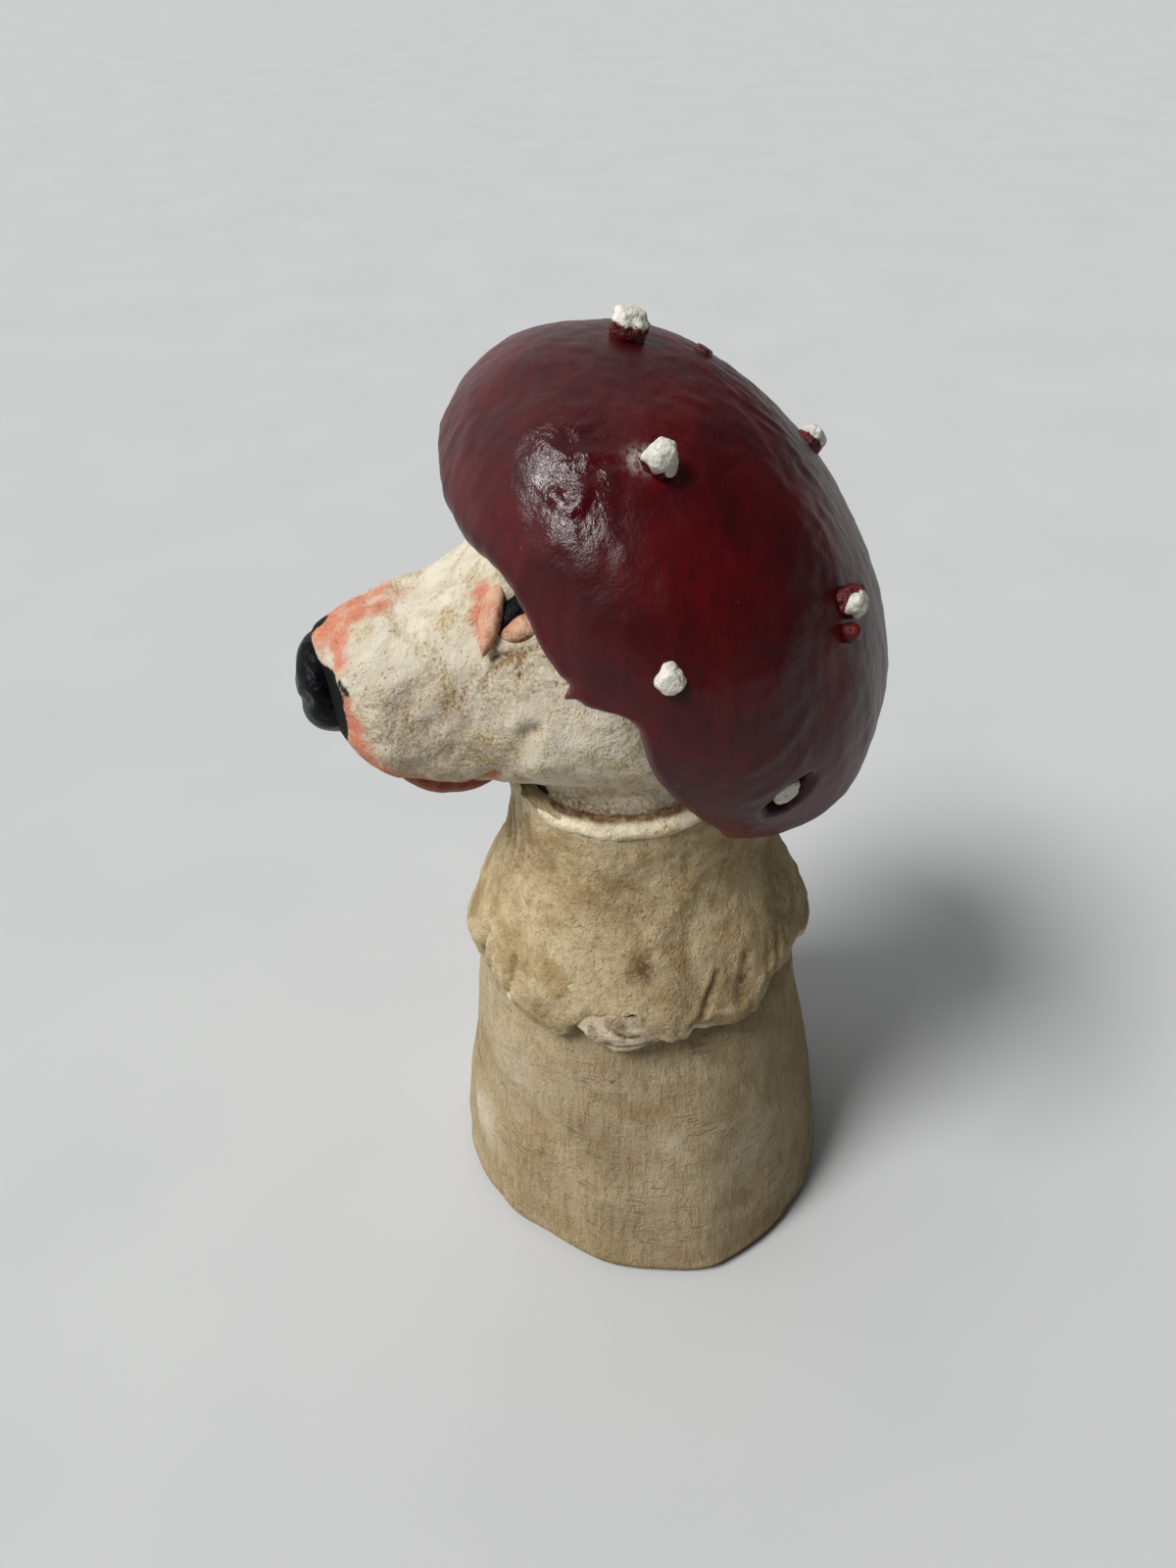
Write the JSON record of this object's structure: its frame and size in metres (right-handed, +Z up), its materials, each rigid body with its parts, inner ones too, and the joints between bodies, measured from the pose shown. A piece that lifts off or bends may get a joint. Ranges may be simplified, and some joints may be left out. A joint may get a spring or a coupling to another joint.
{
  "type": "ceramic mushroom ornament",
  "caption": "Free-standing ceramic ornament: an animal's head under a tilted red mushroom cap with clay warts, on a flared hollow stem with a frilled skirt.",
  "frame": {"origin": "middle of the underside, on the stem's axis", "axes": "+Z up, the muzzle points along -Y, the animal's left side is +X (the side in the picture)"},
  "size_m": [0.092, 0.0967, 0.1765],
  "materials": {
    "stem_wash": "matte brown wash rubbed into pale clay",
    "skirt_wash": "matte mottled brown wash",
    "pale_clay": "matte pale clay, wiped edges",
    "bare_clay": "bare fired clay",
    "face_slip": "gritty off-white slip with brown wash in its recesses and pink round nose and lips",
    "lip_pink": "dull pink stain",
    "nose_glaze": "gloss black",
    "eye_glaze": "gloss black",
    "cap_glaze": "dark red, brushed, half gloss",
    "wart_clay": "white dabs over dark red"
  },
  "bodies": {
    "root": {"base_slab": "bare_clay", "cap": "cap_glaze", "cap_wart_bead": "cap_glaze", "cap_wart_brow": "wart_clay", "cap_wart_crown": "wart_clay", "cap_wart_left_brow": "wart_clay", "cap_wart_left_crown": "wart_clay", "cap_wart_left_nape": "wart_clay", "cap_wart_left_side": "wart_clay", "cap_wart_nape": "wart_clay", "cap_wart_right_back": "wart_clay", "cap_wart_right_brow": "wart_clay", "cap_wart_right_crown": "wart_clay", "cap_wart_right_nape": "wart_clay", "cap_wart_right_side": "wart_clay", "crown_pad": "bare_clay", "eye_left": "eye_glaze", "eye_right": "eye_glaze", "head": "face_slip", "lower_eyelid_left": "lip_pink", "lower_eyelid_right": "lip_pink", "lower_jaw": "lip_pink", "neck_coil": "pale_clay", "nose": "nose_glaze", "skirt": "skirt_wash", "skirt_seam_tab": "pale_clay", "stem": "stem_wash", "upper_eyelid_left": "lip_pink", "upper_eyelid_right": "lip_pink"}
  },
  "joints": []
}
